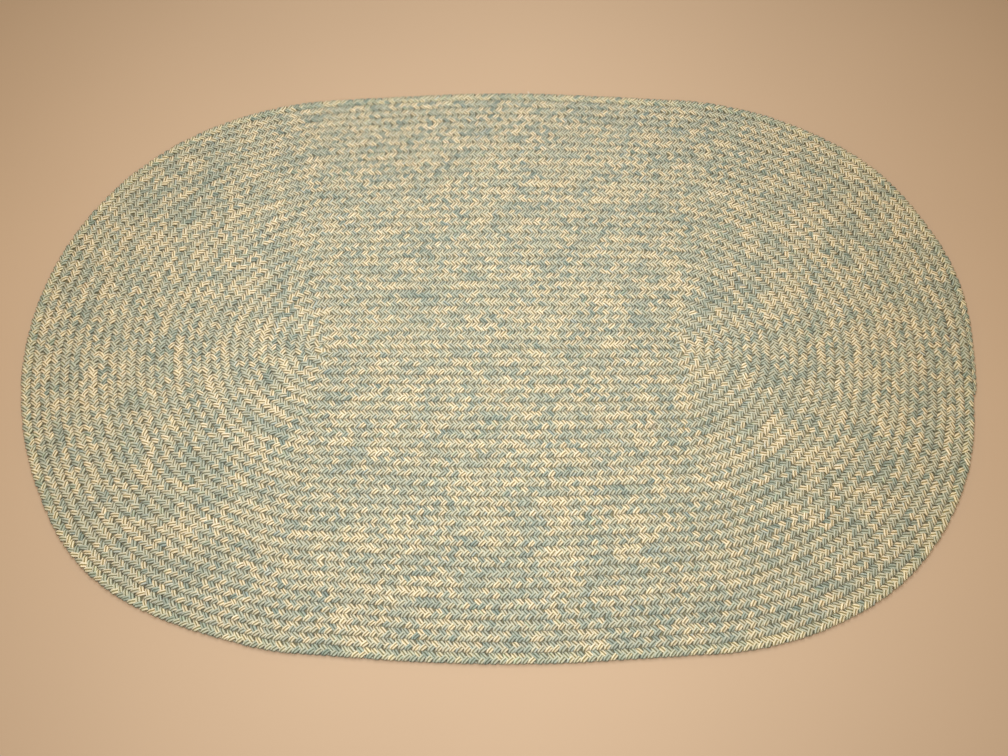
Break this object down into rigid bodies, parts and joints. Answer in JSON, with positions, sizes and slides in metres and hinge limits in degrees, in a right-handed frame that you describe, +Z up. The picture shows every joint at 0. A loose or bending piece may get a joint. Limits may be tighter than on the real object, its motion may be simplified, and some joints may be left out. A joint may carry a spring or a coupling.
{
  "type": "oval braided rug",
  "caption": "Flat oval rug wound from a long braid of heathered yarn, laced edge to edge in a spiral, with its outer end tapered and tucked in.",
  "frame": {"origin": "centre of the rug's box, on its underside", "axes": "+X along the rug's length, +Y across it, +Z up through its thickness"},
  "size_m": [1.6448, 1.038, 0.0085],
  "materials": {
    "braid_yarn": "matte heathered yarn, cream with slate blue, sage green and peach"
  },
  "bodies": {
    "root": {"braided_rug": "braid_yarn"}
  },
  "joints": []
}
